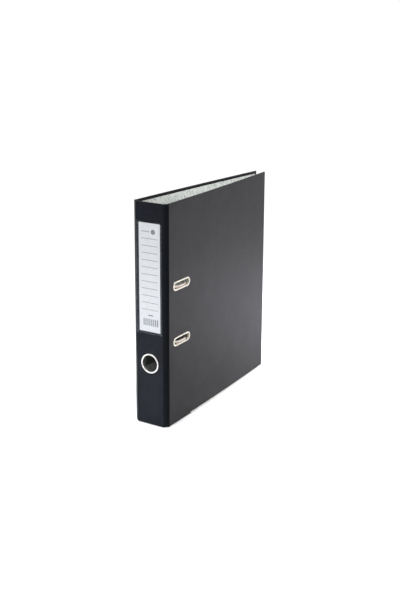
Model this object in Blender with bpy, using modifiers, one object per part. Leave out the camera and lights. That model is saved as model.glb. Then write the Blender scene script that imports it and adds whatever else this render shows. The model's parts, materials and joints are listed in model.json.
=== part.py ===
"""Two-hole lever arch file, A4 upright: boards, spine label, finger ring and lever arch mechanism.

Lengths are in millimetres until a mesh is made. Work frame: the spine's outer face is the plane Y = 0,
X = 0 is the middle of the spine, the covers run towards +Y and their lower edge is Z = 0.
The finished assembly is centred over the origin, standing on its two edge shoes.
"""

import math

import bmesh
import bpy
from mathutils import Matrix, Vector

MM = 0.001

# Overall case
HEIGHT = 318.0
DEPTH = 285.0
HALF_WIDTH = 27.5
FOLD = 5.7
FOLD_CLEARANCE = 0.45
FOLD_FILM = 0.5
MID = HEIGHT / 2
ARC_STEPS = 12

# Layers of each panel, measured inwards from its outer face
FILM = 0.3
BOARD_OUT = 0.5
BOARD_IN = 1.95
TURN_IN = 2.15
LINING_OUT = 2.2
PANEL = 2.45
TURN_IN_WIDTH = 4.0
EDGE_GAP = 0.2
OVERRUN = 5.0
SPARE = 1.0
CUT_TOP = 20.0
EDGE_ROUND = 0.4

# Lean towards the inside and outward bow of the two covers
FRONT_LEAN = 0.0127
BACK_LEAN = 0.1219
FRONT_BOW = 2.1
BACK_BOW = 1.2

# Edge shoes
SHOE_START = 55.0
SHOE_GAP = 0.12
SHOE_WALL = 0.55
SHOE_DROP = 1.0
SHOE_RISE = 2.5

# Label and its pocket
LABEL_HALF = 17.0
LABEL_MIDDLE = 0.8
LABEL_LOW = 137.0
LABEL_HIGH = 290.0
LABEL_FACES = (-0.62, -0.34)
POCKET_HALF = 20.5
POCKET_LOW = 134.0
POCKET_HIGH = 292.0
POCKET_FACES = (-0.95, -0.15)
POCKET_FILM = 0.2
POCKET_RIM = 2.2
NOTCH_RADIUS = 12.0
NOTCH_RISE = 8.0

# Finger ring
RING_Z = 90.3
RING_HOLE = 12.9
RING_PROFILE = (
    (12.0, -0.7), (12.35, -1.05), (13.6, -1.05), (14.2, -0.55), (14.2, -0.15), (12.6, -0.15),
    (12.6, 3.45), (13.4, 3.45), (13.4, 3.75), (12.3, 3.95), (12.0, 3.7),
)
RING_STEPS = 40
WASHER_RADIUS = 14.6
WASHER_FACES = (2.7, 3.2)

# Slots of the front cover for the two arches
SLOT_U = 32.2
SLOT_RAISED = 1.2
HOLE_PITCH = 80.0
EYELET_OUTER = (42.0, 13.0)
EYELET_INNER = (38.0, 9.0)
EYELET_BARREL = (39.4, 10.4)
EYELET_LIP = (40.8, 11.8)
SLOT_CUT = (39.8, 10.8)
EYELET_FLANGE = (0.15, 0.75)
EYELET_BARREL_FACES = (-3.3, 0.4)
EYELET_LIP_FACES = (-3.5, -3.2)
SLOT_WASHER_FACES = (-3.0, -2.65)
SLOT_WASHER_HOLE = (39.9, 10.9)

# Mechanism on the back cover: u from the back fold, h above the lining, z from its own middle
MECHANISM_Z = MID - 1.5
PLATE_ROUND = 5.0
HEAD_THICK = 0.7
HEAD_REACH = 0.9
BASE_U = (8.0, 66.0)
BASE_Z = 82.0
BASE_H = (0.3, 1.3)
FOOT_H = 1.5
RIVET_U = (14.0, 60.0)
RIVET_Z = 74.0
RIVET_RADIUS = 2.0
RIVET_HOLE = 2.2
RIVET_HEAD = 4.2
RIVET_OUTSIDE = (-3.45, -2.7)
RIVET_INSIDE = (1.45, 2.3)
SHAFT_U = 19.6
SHAFT_H = 5.4
SHAFT_RADIUS = 2.2
SHAFT_END = 56.0
SADDLE_Z = (47.0, 52.0)
SADDLE_RADIUS = 3.7
SADDLE_HOLE = 2.35
ARCH_WIRE = 1.8
ARCH_TOP = 47.0
ARCH_CORNER = 16.0
POST_U = 57.6
POST_RADIUS = 2.5
POST_TOP = 26.7
POST_FOOT_RADIUS = 4.3
POST_FOOT_THICK = 0.9
ARCH_TIP = 27.0
CRANK_Z = (21.0, 27.0)
CRANK_LENGTH = 18.5
CRANK_ANGLE = math.radians(10.0)
CRANK_THICK = 1.8
CRANK_HUB = 3.6
LEVER_Z = 30.0
LEVER_H = 9.1
LEVER_U = (40.2, 41.8)
LEVER_END = -22.0
LEVER_END_H = (-2.2, 1.8)
LEVER_NECK = 3.9
LEVER_HUB = 4.5
HUB_PROUD = 0.18
BOSS_PROUD = 0.12
PIN_RADIUS = 1.5
PIN_HOLE = 1.65
PIN_HEAD = 2.5
ROLLER_OFFSET = 4.17
ROLLER_RADIUS = 2.0
ROLLER_U = (33.8, 39.8)
ROLLER_PIN = 1.0
ROLLER_PIN_HEAD = 1.5
ROLLER_PIN_HEAD_U = (32.9, 33.5)
ROLLER_BORE = 1.15
ROLLER_BOSS = 2.6
GRIP_U = (33.0, 45.0)
GRIP_Z = (-34.0, -13.0)
GRIP_H = (6.4, 12.2)
GRIP_SLOT_U = (39.9, 42.1)
GRIP_ROUND = 2.4
GRIP_CLEARANCE = 0.3
EAR_NEAR_U = (31.0, 32.4)
EAR_FAR_U = (42.3, 43.7)
EAR_Z = (27.6, 36.0)
EAR_FAR_Z = (25.0, 36.0)
EAR_RADIUS = 3.35
EAR_SINK = 0.2
EAR_SHOULDERS = (-2.0, 1.2)
BRACKET_FOOT_TOP = 2.5
SPRING_U = (23.5, 31.5)
SPRING_THICK = 0.6
SPRING_LINE = ((-30.0, 0.0), (-18.0, 0.0), (-8.0, 0.5), (4.0, 1.5), (15.0, 2.9))
SPRING_RIVET_Z = -24.0
SPRING_RIVET_HOLE = 1.6
SPRING_RIVET_RADIUS = 1.4
SPRING_RIVET_HEAD = 2.8
SPRING_RIVET_H = (0.8, 1.6)
PLATE_U = (48.0, 72.0)
PLATE_Z = 60.0
PLATE_H = (6.5, 7.7)
PLATE_HOLE = 3.6
CATCH_U = (51.6, 63.6)
CATCH_Z = 52.0
CATCH_H = (8.0, 8.8)
CATCH_ROUND = 2.0
CATCH_TRAVEL = 4.0
TAB_U = (53.6, 61.6)
TAB_Z = (50.6, 51.8)
TAB_H = (8.2, 16.0)
GUIDE_Z = 15.0
GUIDE_RADIUS = 1.5
GUIDE_HEAD = 2.9
GUIDE_PLAY = 0.15
GUIDE_SLOT_HALF = 1.8


def clear_scene():
    for obj in list(bpy.data.objects):
        bpy.data.objects.remove(obj, do_unlink=True)


def new_collection(name, hidden):
    group = bpy.data.collections.new(name)
    bpy.context.scene.collection.children.link(group)
    group.hide_render = hidden
    return group


clear_scene()
PARTS = new_collection("lever_arch_file", False)
HELPERS = new_collection("cutters", True)


def material(name, colour, roughness, metallic=0.0, alpha=1.0):
    made = bpy.data.materials.new(name)
    made.use_nodes = True
    shader = made.node_tree.nodes["Principled BSDF"]
    shader.inputs["Base Color"].default_value = (*colour, 1.0)
    shader.inputs["Roughness"].default_value = roughness
    shader.inputs["Metallic"].default_value = metallic
    shader.inputs["Alpha"].default_value = alpha
    return made


COVER_FILM = material("cover_film", (0.03, 0.03, 0.035), 0.45)
GREYBOARD = material("greyboard", (0.32, 0.29, 0.24), 0.9)
CLOUD_PAPER = material("cloud_paper", (0.62, 0.66, 0.62), 0.8)
NICKEL = material("nickel", (0.78, 0.77, 0.74), 0.2, 1.0)
ZINC = material("zinc_strip", (0.66, 0.67, 0.68), 0.4, 1.0)
STEEL = material("mechanism_steel", (0.6, 0.6, 0.61), 0.3, 1.0)
CLEAR_FILM = material("clear_film", (0.9, 0.92, 0.93), 0.1, 0.0, 0.35)
LABEL_CARD = material("label_card_white", (0.86, 0.87, 0.9), 0.7)
GRIP_PLASTIC = material("grip_plastic", (0.04, 0.04, 0.045), 0.4)


def solid(name, mesh, surface, place=None):
    """An object from a mesh in millimetres, placed and scaled to metres."""
    shape = bmesh.new()
    shape.from_mesh(mesh)
    if place is not None:
        bmesh.ops.transform(shape, matrix=place, verts=shape.verts)
    bmesh.ops.scale(shape, vec=(MM, MM, MM), verts=shape.verts)
    bmesh.ops.remove_doubles(shape, verts=shape.verts, dist=1e-7)
    bmesh.ops.recalc_face_normals(shape, faces=shape.faces)
    shape.to_mesh(mesh)
    shape.free()
    obj = bpy.data.objects.new(name, mesh)
    PARTS.objects.link(obj)
    if surface is not None:
        mesh.materials.clear()
        mesh.materials.append(surface)
    return obj


def curve_mesh(curve):
    """The closed mesh of a curve, with its curve object removed again."""
    holder = bpy.data.objects.new("curve_holder", curve)
    PARTS.objects.link(holder)
    graph = bpy.context.evaluated_depsgraph_get()
    mesh = bpy.data.meshes.new_from_object(holder.evaluated_get(graph))
    bpy.data.objects.remove(holder, do_unlink=True)
    return mesh


def outline_solid(name, outline, low, high, surface=None, place=None):
    """A flat outline filled and extruded along its local Z from low to high."""
    curve = bpy.data.curves.new(name, "CURVE")
    curve.dimensions = "2D"
    curve.fill_mode = "BOTH"
    curve.extrude = (high - low) / 2
    spline = curve.splines.new("POLY")
    spline.points.add(len(outline) - 1)
    for point, (x, y) in zip(spline.points, outline):
        point.co = (x, y, 0.0, 1.0)
    spline.use_cyclic_u = True
    shift = Matrix.Translation((0.0, 0.0, (high + low) / 2))
    whole = shift if place is None else place @ shift
    return solid(name, curve_mesh(curve), surface, whole)


def wire_solid(name, points, radius, surface=None, place=None):
    """A round wire with flat ends along a line of points."""
    curve = bpy.data.curves.new(name, "CURVE")
    curve.dimensions = "3D"
    curve.bevel_depth = radius
    curve.bevel_resolution = 2
    curve.use_fill_caps = True
    spline = curve.splines.new("POLY")
    spline.points.add(len(points) - 1)
    for point, place_at in zip(spline.points, points):
        point.co = (*place_at, 1.0)
    return solid(name, curve_mesh(curve), surface, place)


def rod_solid(name, start, end, radius, surface=None, place=None, sides=24):
    """A round rod between two points."""
    first = Vector(start)
    span = Vector(end) - first
    shape = bmesh.new()
    bmesh.ops.create_cone(
        shape, cap_ends=True, segments=sides, radius1=radius, radius2=radius, depth=span.length
    )
    turn = Vector((0.0, 0.0, 1.0)).rotation_difference(span).to_matrix().to_4x4()
    shift = Matrix.Translation(first + span / 2)
    bmesh.ops.transform(shape, matrix=shift @ turn, verts=shape.verts)
    mesh = bpy.data.meshes.new(name)
    shape.to_mesh(mesh)
    shape.free()
    return solid(name, mesh, surface, place)


def turned_solid(name, profile, surface, place, steps):
    """A closed (radius, height) profile turned a full circle about local Z."""
    shape = bmesh.new()
    corners = [shape.verts.new((radius, 0.0, height)) for radius, height in profile]
    edges = [shape.edges.new((corners[i - 1], corners[i])) for i in range(len(corners))]
    bmesh.ops.spin(
        shape, geom=corners + edges, cent=(0.0, 0.0, 0.0), axis=(0.0, 0.0, 1.0),
        angle=2 * math.pi, steps=steps, use_merge=True,
    )
    bmesh.ops.remove_doubles(shape, verts=shape.verts, dist=1e-4)
    mesh = bpy.data.meshes.new(name)
    shape.to_mesh(mesh)
    shape.free()
    return solid(name, mesh, surface, place)


def box_solid(name, low, high, surface=None, place=None):
    outline = [(low[0], low[1]), (high[0], low[1]), (high[0], high[1]), (low[0], high[1])]
    return outline_solid(name, outline, low[2], high[2], surface, place)


def combine(obj, other, operation):
    """Adds a live exact Boolean and puts the other solid with the hidden helpers."""
    other.name = f"{obj.name}_{operation.lower()}_{len(obj.modifiers)}"
    PARTS.objects.unlink(other)
    HELPERS.objects.link(other)
    other.hide_render = True
    other.display_type = "WIRE"
    change = obj.modifiers.new(other.name, "BOOLEAN")
    change.operation = operation
    change.solver = "EXACT"
    change.object = other
    return obj


def cut(obj, other):
    return combine(obj, other, "DIFFERENCE")


def join(obj, other):
    return combine(obj, other, "UNION")


def soften(obj, width, segments=1):
    rounding = obj.modifiers.new("softened_edges", "BEVEL")
    rounding.width = width * MM
    rounding.segments = segments
    rounding.limit_method = "ANGLE"
    rounding.angle_limit = math.radians(50.0)
    return obj


def arc_points(centre, radius, first, last, steps):
    """Points on an arc in degrees, ends included."""
    found = []
    for step in range(steps + 1):
        angle = math.radians(first + (last - first) * step / steps)
        found.append((centre[0] + radius * math.cos(angle), centre[1] + radius * math.sin(angle)))
    return found


def stadium(size, centre=(0.0, 0.0), steps=8):
    """A slot outline, long along local X, with fully round ends."""
    length, width = size
    reach = (length - width) / 2
    right = arc_points((centre[0] + reach, centre[1]), width / 2, -90, 90, steps)
    left = arc_points((centre[0] - reach, centre[1]), width / 2, 90, 270, steps)
    return right + left


def rounded_rectangle(low, high, radius, steps=4):
    corners = (
        ((high[0] - radius, low[1] + radius), -90),
        ((high[0] - radius, high[1] - radius), 0),
        ((low[0] + radius, high[1] - radius), 90),
        ((low[0] + radius, low[1] + radius), 180),
    )
    found = []
    for centre, first in corners:
        found += arc_points(centre, radius, first, first + 90, steps)
    return found


class Cover:
    """A bowed cover panel seen from above: side is +1 for the front and -1 for the back."""

    def __init__(self, side, lean, bow):
        self.fold = Vector((side * HALF_WIDTH, FOLD))
        self.along = Vector((-side * math.sin(lean), math.cos(lean)))
        self.outward = Vector((side * math.cos(lean), math.sin(lean)))
        self.bow = bow
        self.length = (DEPTH - FOLD) / math.cos(lean)

    def point(self, u, depth):
        share = u / self.length
        rise = 4 * self.bow * share * (1 - share)
        return self.fold + self.along * u + self.outward * (rise - depth)

    def outline(self, u_low, u_high, outer, inner):
        inside = [self.length * step / ARC_STEPS for step in range(1, ARC_STEPS)]
        stops = [u_low] + [u for u in inside if u_low + SPARE < u < u_high - SPARE] + [u_high]
        there = [tuple(self.point(u, outer)) for u in stops]
        back = [tuple(self.point(u, inner)) for u in reversed(stops)]
        return there + back

    def panel(self, name, u_span, depths, z_span, surface=None):
        return outline_solid(name, self.outline(*u_span, *depths), *z_span, surface)

    def frame(self, u_middle, reach, depth):
        """A flat frame on the panel: local X along it, Y up, Z = X x Y, touching at u = u_middle."""
        first = self.point(u_middle - reach, depth)
        last = self.point(u_middle + reach, depth)
        along = (last - first).normalized().to_3d()
        up = Vector((0.0, 0.0, 1.0))
        across = along.cross(up)
        middle = ((first + last) / 2).to_3d()
        turn = Matrix((along, up, across)).transposed().to_4x4()
        return Matrix.Translation(middle) @ turn


FRONT = Cover(1, FRONT_LEAN, FRONT_BOW)
BACK = Cover(-1, BACK_LEAN, BACK_BOW)


def mechanism_frame():
    """Local X is u from the back fold, Y is z from the middle and Z is h above the lining."""
    middle = (BASE_U[0] + BASE_U[1]) / 2
    seat = BACK.frame(middle, (BASE_U[1] - BASE_U[0]) / 2, PANEL)
    return Matrix.Translation((0.0, 0.0, MECHANISM_Z)) @ seat @ Matrix.Translation((-middle, 0.0, 0.0))


MECH = mechanism_frame()
# Outlines drawn as (z, h) and extruded along u, and as (h, u) extruded along z
SIDE_ON = MECH @ Matrix(((0, 0, 1, 0), (1, 0, 0, 0), (0, 1, 0, 0), (0, 0, 0, 1)))
END_ON = MECH @ Matrix(((0, 1, 0, 0), (0, 0, 1, 0), (1, 0, 0, 0), (0, 0, 0, 1)))


def cover_layers(cover, side):
    """Board, wrapped covering film and inner lining of one cover."""
    start = FOLD_CLEARANCE
    end = cover.length
    board = cover.panel(
        f"{side}_board", (start, end - BOARD_OUT), (BOARD_OUT, BOARD_IN),
        (BOARD_OUT, HEIGHT - BOARD_OUT), GREYBOARD,
    )
    covering = cover.panel(f"{side}_covering", (start, end), (0.0, PANEL), (0.0, HEIGHT), COVER_FILM)
    before = start - OVERRUN
    cut(covering, cover.panel("inside", (before, end - FILM), (FILM, TURN_IN), (FILM, HEIGHT - FILM)))
    window = (TURN_IN_WIDTH, HEIGHT - TURN_IN_WIDTH)
    cut(covering, cover.panel("window", (before, end - TURN_IN_WIDTH), (BOARD_IN, OVERRUN), window))
    edge = TURN_IN_WIDTH + EDGE_GAP
    lining = cover.panel(
        f"{side}_lining", (start, end - edge), (LINING_OUT, PANEL), (edge, HEIGHT - edge), CLOUD_PAPER
    )
    return board, covering, lining


def edge_shoe(cover, side):
    """A folded metal strip over the lower edge of a cover, which the file stands on."""
    outer = -SHOE_GAP - SHOE_WALL
    inner = PANEL + SHOE_GAP + SHOE_WALL
    end = cover.length
    height = (-SHOE_DROP, SHOE_RISE)
    shoe = cover.panel(f"{side}_edge_shoe", (SHOE_START, end), (outer, inner), height, ZINC)
    channel = (-SHOE_GAP, PANEL + SHOE_GAP)
    z_span = (SHOE_WALL - SHOE_DROP, SHOE_RISE + OVERRUN)
    return cut(shoe, cover.panel("channel", (SHOE_START - OVERRUN, end + OVERRUN), channel, z_span))


def front_cover():
    board, covering, lining = cover_layers(FRONT, "front")
    made = [board, covering, lining, edge_shoe(FRONT, "front")]
    for label, half in (("upper", HOLE_PITCH / 2), ("lower", -HOLE_PITCH / 2)):
        seat = Matrix.Translation((0, 0, MID + SLOT_RAISED + half)) @ FRONT.frame(
            SLOT_U, EYELET_OUTER[0] / 2, 0.0
        )
        for layer in (board, covering, lining):
            cut(layer, outline_solid("slot", stadium(SLOT_CUT), -OVERRUN, OVERRUN, None, seat))
        made.append(eyelet(f"slot_eyelet_{label}", seat))
        made.append(slot_washer(f"slot_washer_{label}", seat))
    return made


def eyelet(name, seat):
    """Slot lining with an outer flange, a barrel through the board and a lip inside."""
    flange = outline_solid(name, stadium(EYELET_OUTER), *EYELET_FLANGE, NICKEL, seat)
    join(flange, outline_solid("barrel", stadium(EYELET_BARREL), *EYELET_BARREL_FACES, None, seat))
    join(flange, outline_solid("lip", stadium(EYELET_LIP), *EYELET_LIP_FACES, None, seat))
    cut(flange, outline_solid("opening", stadium(EYELET_INNER), -OVERRUN, OVERRUN, None, seat))
    return flange


def slot_washer(name, seat):
    ring = outline_solid(name, stadium(EYELET_OUTER), *SLOT_WASHER_FACES, NICKEL, seat)
    return cut(ring, outline_solid("opening", stadium(SLOT_WASHER_HOLE), -OVERRUN, OVERRUN, None, seat))


def back_cover():
    board, covering, lining = cover_layers(BACK, "back")
    for layer in (board, covering, lining):
        for u in RIVET_U:
            for z in (-RIVET_Z, RIVET_Z):
                hole = rod_solid("rivet_hole", (u, z, -OVERRUN), (u, z, OVERRUN), RIVET_HOLE, None, MECH)
                cut(layer, hole)
    return [board, covering, lining, edge_shoe(BACK, "back")]


def spine():
    """Spine board, covering and lining with the finger hole, its ring, and the label pocket."""
    edge = HALF_WIDTH - FOLD - FOLD_CLEARANCE
    board = box_solid(
        "spine_board", (-edge, BOARD_OUT, BOARD_OUT), (edge, BOARD_IN, HEIGHT - BOARD_OUT), GREYBOARD
    )
    covering = box_solid("spine_covering", (-edge, 0.0, 0.0), (edge, PANEL, HEIGHT), COVER_FILM)
    past = edge + OVERRUN
    cut(covering, box_solid("inside", (-past, FILM, FILM), (past, TURN_IN, HEIGHT - FILM)))
    low, high = (-past, BOARD_IN, TURN_IN_WIDTH), (past, OVERRUN, HEIGHT - TURN_IN_WIDTH)
    cut(covering, box_solid("window", low, high))
    margin = TURN_IN_WIDTH + EDGE_GAP
    low, high = (-edge, LINING_OUT, margin), (edge, PANEL, HEIGHT - margin)
    lining = box_solid("spine_lining", low, high, CLOUD_PAPER)
    for layer in (board, covering, lining):
        start, end = (0.0, -OVERRUN, RING_Z), (0.0, OVERRUN, RING_Z)
        cut(layer, rod_solid("finger_hole", start, end, RING_HOLE, None, None, RING_STEPS))
    facing = Matrix.Translation((0.0, 0.0, RING_Z)) @ Matrix.Rotation(-math.pi / 2, 4, "X")
    ring = turned_solid("finger_ring", RING_PROFILE, NICKEL, facing, RING_STEPS)
    washer_profile = (
        (RING_HOLE, WASHER_FACES[0]), (WASHER_RADIUS, WASHER_FACES[0]),
        (WASHER_RADIUS, WASHER_FACES[1]), (RING_HOLE, WASHER_FACES[1]),
    )
    washer = turned_solid("finger_ring_washer", washer_profile, NICKEL, facing, RING_STEPS)
    return [board, covering, lining, ring, washer, label_pocket()]


def label_pocket():
    """Clear film welded along its sides and lower edge, open at the top."""
    front, back = POCKET_FACES
    pocket = box_solid(
        "label_pocket", (-POCKET_HALF, front, POCKET_LOW), (POCKET_HALF, back, POCKET_HIGH), CLEAR_FILM
    )
    inner = POCKET_HALF - POCKET_RIM
    low = (-inner, front + POCKET_FILM, POCKET_LOW + POCKET_RIM)
    cut(pocket, box_solid("card_space", low, (inner, back + OVERRUN, POCKET_HIGH + OVERRUN)))
    notch_z = POCKET_HIGH + NOTCH_RISE
    cut(pocket, rod_solid("thumb_notch", (0, -OVERRUN, notch_z), (0, OVERRUN, notch_z), NOTCH_RADIUS))
    return pocket


def label():
    return [box_solid(
        "label_card", (LABEL_MIDDLE - LABEL_HALF, LABEL_FACES[0], LABEL_LOW),
        (LABEL_MIDDLE + LABEL_HALF, LABEL_FACES[1], LABEL_HIGH), LABEL_CARD,
    )]


def fold_films():
    """The two narrow strips of film that bend where the spine meets a cover."""
    reach = FOLD_CLEARANCE / 2
    made = []
    for side, name in ((-1, "back_hinge_film"), (1, "front_hinge_film")):
        near = Vector((side * (HALF_WIDTH - FOLD + reach), reach))
        far = Vector((side * (HALF_WIDTH - reach), FOLD - reach))
        inward = Vector((-side, 1.0)).normalized() * FOLD_FILM
        corners = [near, far, far + inward, near + inward]
        made.append(outline_solid(name, [tuple(c) for c in corners], 0.0, HEIGHT, COVER_FILM))
    return made


def base_plate():
    outline = rounded_rectangle((BASE_U[0], -BASE_Z), (BASE_U[1], BASE_Z), PLATE_ROUND)
    plate = outline_solid("base_plate", outline, *BASE_H, STEEL, MECH)
    for u in RIVET_U:
        for z in (-RIVET_Z, RIVET_Z):
            cut(plate, rod_solid("rivet_hole", (u, z, -OVERRUN), (u, z, OVERRUN), RIVET_HOLE, None, MECH))
    return plate


def mechanism_rivets():
    """One rivet at each corner of the base plate."""
    made = []
    for level, z in (("lower", -RIVET_Z), ("upper", RIVET_Z)):
        for side, u in zip(("fold", "edge"), RIVET_U):
            name = f"rivet_{level}_{side}"
            foot, top = (u, z, RIVET_OUTSIDE[0]), (u, z, RIVET_INSIDE[1])
            rivet = rod_solid(name, foot, top, RIVET_RADIUS, NICKEL, MECH)
            for low, high in (RIVET_OUTSIDE, RIVET_INSIDE):
                join(rivet, rod_solid("head", (u, z, low), (u, z, high), RIVET_HEAD, None, MECH))
            made.append(rivet)
    return made


def posts():
    made = []
    for name, z in (("post_upper", HOLE_PITCH / 2), ("post_lower", -HOLE_PITCH / 2)):
        post = rod_solid(name, (POST_U, z, FOOT_H), (POST_U, z, POST_TOP), POST_RADIUS, NICKEL, MECH)
        top = (POST_U, z, FOOT_H + POST_FOOT_THICK)
        join(post, rod_solid("foot", (POST_U, z, FOOT_H), top, POST_FOOT_RADIUS, None, MECH))
        made.append(post)
    return made


def saddles():
    """Bearing blocks that hold the arch shaft on the base plate."""
    outline = [(FOOT_H, SHAFT_U - SADDLE_RADIUS), (FOOT_H, SHAFT_U + SADDLE_RADIUS)]
    outline += arc_points((SHAFT_H, SHAFT_U), SADDLE_RADIUS, 90, -90, 10)
    made = []
    for name, side in (("shaft_saddle_upper", 1), ("shaft_saddle_lower", -1)):
        low, high = sorted((side * SADDLE_Z[0], side * SADDLE_Z[1]))
        block = outline_solid(name, outline, low, high, STEEL, END_ON)
        start = (SHAFT_U, low - SPARE, SHAFT_H)
        end = (SHAFT_U, high + SPARE, SHAFT_H)
        cut(block, rod_solid("shaft_hole", start, end, SADDLE_HOLE, None, MECH))
        made.append(block)
    return made


def arch_wire():
    """Shaft and both arches as one wire frame: straight legs, rounded shoulders and a short flat top."""
    start, end = (SHAFT_U, -SHAFT_END, SHAFT_H), (SHAFT_U, SHAFT_END, SHAFT_H)
    shaft = rod_solid("arch_wire", start, end, SHAFT_RADIUS, NICKEL, MECH)
    shoulder = ARCH_TOP - ARCH_CORNER
    near = arc_points((SHAFT_U + ARCH_CORNER, shoulder), ARCH_CORNER, 180, 90, 7)
    far = arc_points((POST_U - ARCH_CORNER, shoulder), ARCH_CORNER, 90, 0, 7)
    path = [(SHAFT_U, SHAFT_H)] + near + far + [(POST_U, ARCH_TIP)]
    for z in (HOLE_PITCH / 2, -HOLE_PITCH / 2):
        join(shaft, wire_solid("arch", [(u, z, h) for u, h in path], ARCH_WIRE, None, MECH))
    return shaft


def arch_crank():
    """Hub on the shaft with an arm that the lever's roller lifts."""
    slope = Vector((math.cos(CRANK_ANGLE), math.sin(CRANK_ANGLE)))
    above = Vector((-slope.y, slope.x)) * CRANK_THICK
    centre = Vector((SHAFT_U, SHAFT_H))
    tip = centre + slope * CRANK_LENGTH
    corners = [centre, tip, tip + above, centre + above]
    crank = outline_solid("arch_crank", [(c.y, c.x) for c in corners], *CRANK_Z, STEEL, END_ON)
    start = (SHAFT_U, CRANK_Z[0], SHAFT_H)
    join(crank, rod_solid("hub", start, (SHAFT_U, CRANK_Z[1], SHAFT_H), CRANK_HUB, None, MECH))
    start = (SHAFT_U, CRANK_Z[0] - SPARE, SHAFT_H)
    end = (SHAFT_U, CRANK_Z[1] + SPARE, SHAFT_H)
    return cut(crank, rod_solid("bore", start, end, SADDLE_HOLE, None, MECH))


def pin_hole(u_span, z, h, radius):
    start = (u_span[0] - SPARE, z, h)
    return rod_solid("pin_hole", start, (u_span[1] + SPARE, z, h), radius, None, MECH)


def lever_arm():
    """Flat bar with a hub on the pivot pin and a boss that carries the roller."""
    z, h = LEVER_Z, LEVER_H
    lower = [(LEVER_END, h + LEVER_END_H[0]), (z, h - LEVER_NECK)]
    outline = lower + [(z, h + LEVER_NECK), (LEVER_END, h + LEVER_END_H[1])]
    arm = outline_solid("lever_arm", outline, *LEVER_U, STEEL, SIDE_ON)
    near, far = LEVER_U[0] - HUB_PROUD, LEVER_U[1] + HUB_PROUD
    join(arm, rod_solid("hub", (near, z, h), (far, z, h), LEVER_HUB, None, MECH))
    rz, rh = z - ROLLER_OFFSET, h - ROLLER_OFFSET
    near, far = LEVER_U[0] - BOSS_PROUD, LEVER_U[1] + BOSS_PROUD
    join(arm, rod_solid("boss", (near, rz, rh), (far, rz, rh), ROLLER_BOSS, None, MECH))
    cut(arm, pin_hole(LEVER_U, z, h, PIN_HOLE))
    return cut(arm, pin_hole(LEVER_U, rz, rh, ROLLER_BORE))


def lever_grip():
    outline = rounded_rectangle((GRIP_Z[0], GRIP_H[0]), (GRIP_Z[1], GRIP_H[1]), GRIP_ROUND)
    grip = outline_solid("lever_grip", outline, *GRIP_U, GRIP_PLASTIC, SIDE_ON)
    low = (LEVER_END - GRIP_CLEARANCE, GRIP_H[0] - SPARE, GRIP_SLOT_U[0])
    high = (GRIP_Z[1] + SPARE, GRIP_H[1] + SPARE, GRIP_SLOT_U[1])
    return cut(grip, box_solid("arm_slot", low, high, None, SIDE_ON))


def lever_roller():
    z, h = LEVER_Z - ROLLER_OFFSET, LEVER_H - ROLLER_OFFSET
    start, end = (ROLLER_U[0], z, h), (ROLLER_U[1], z, h)
    roller = rod_solid("lever_roller", start, end, ROLLER_RADIUS, GRIP_PLASTIC, MECH)
    return cut(roller, pin_hole(ROLLER_U, z, h, ROLLER_BORE))


def roller_pin():
    z, h = LEVER_Z - ROLLER_OFFSET, LEVER_H - ROLLER_OFFSET
    low, high = ROLLER_PIN_HEAD_U
    pin = rod_solid("roller_pin", (low, z, h), (LEVER_U[1], z, h), ROLLER_PIN, STEEL, MECH)
    return join(pin, rod_solid("head", (low, z, h), (high, z, h), ROLLER_PIN_HEAD, None, MECH))


def lever_bracket():
    """Two upright ears on one foot, either side of the crank and the lever."""
    z, h = LEVER_Z, LEVER_H
    foot = (EAR_NEAR_U[0], EAR_Z[0], FOOT_H)
    bracket = box_solid("lever_bracket", foot, (EAR_FAR_U[1], EAR_Z[1], BRACKET_FOOT_TOP), STEEL, MECH)
    for u_span, z_span in ((EAR_NEAR_U, EAR_Z), (EAR_FAR_U, EAR_FAR_Z)):
        top = arc_points((z, h), EAR_RADIUS, 0, 180, 8)
        outline = [(z_span[1], FOOT_H + EAR_SINK), (z_span[1], h + EAR_SHOULDERS[0])]
        outline += [(max(point[0], z_span[0]), point[1]) for point in top[:-2]]
        outline += [(z_span[0], h + EAR_SHOULDERS[1]), (z_span[0], FOOT_H + EAR_SINK)]
        join(bracket, outline_solid("ear", outline, *u_span, None, SIDE_ON))
    return cut(bracket, pin_hole((EAR_NEAR_U[0], EAR_FAR_U[1]), z, h, PIN_HOLE))


def lever_pin():
    z, h = LEVER_Z, LEVER_H
    low, high = EAR_NEAR_U[0] - HEAD_REACH, EAR_FAR_U[1] + HEAD_REACH
    pin = rod_solid("lever_pin", (low, z, h), (high, z, h), PIN_RADIUS, STEEL, MECH)
    join(pin, rod_solid("head", (low, z, h), (low + HEAD_THICK, z, h), PIN_HEAD, None, MECH))
    return join(pin, rod_solid("head", (high - HEAD_THICK, z, h), (high, z, h), PIN_HEAD, None, MECH))


def leaf_spring():
    """Bent strip that presses up under the lever side of the mechanism."""
    lower = [(z, FOOT_H + rise) for z, rise in SPRING_LINE]
    outline = lower + [(z, h + SPRING_THICK) for z, h in reversed(lower)]
    strip = outline_solid("leaf_spring", outline, *SPRING_U, STEEL, SIDE_ON)
    u = (SPRING_U[0] + SPRING_U[1]) / 2
    start = (u, SPRING_RIVET_Z, 0.0)
    end = (u, SPRING_RIVET_Z, OVERRUN)
    return cut(strip, rod_solid("rivet_hole", start, end, SPRING_RIVET_HOLE, None, MECH))


def spring_rivet():
    u = (SPRING_U[0] + SPRING_U[1]) / 2
    z = SPRING_RIVET_Z
    under, top = FOOT_H + SPRING_RIVET_H[0], FOOT_H + SPRING_RIVET_H[1]
    rivet = rod_solid("spring_rivet", (u, z, FOOT_H), (u, z, top), SPRING_RIVET_RADIUS, NICKEL, MECH)
    return join(rivet, rod_solid("head", (u, z, under), (u, z, top), SPRING_RIVET_HEAD, None, MECH))


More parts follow.
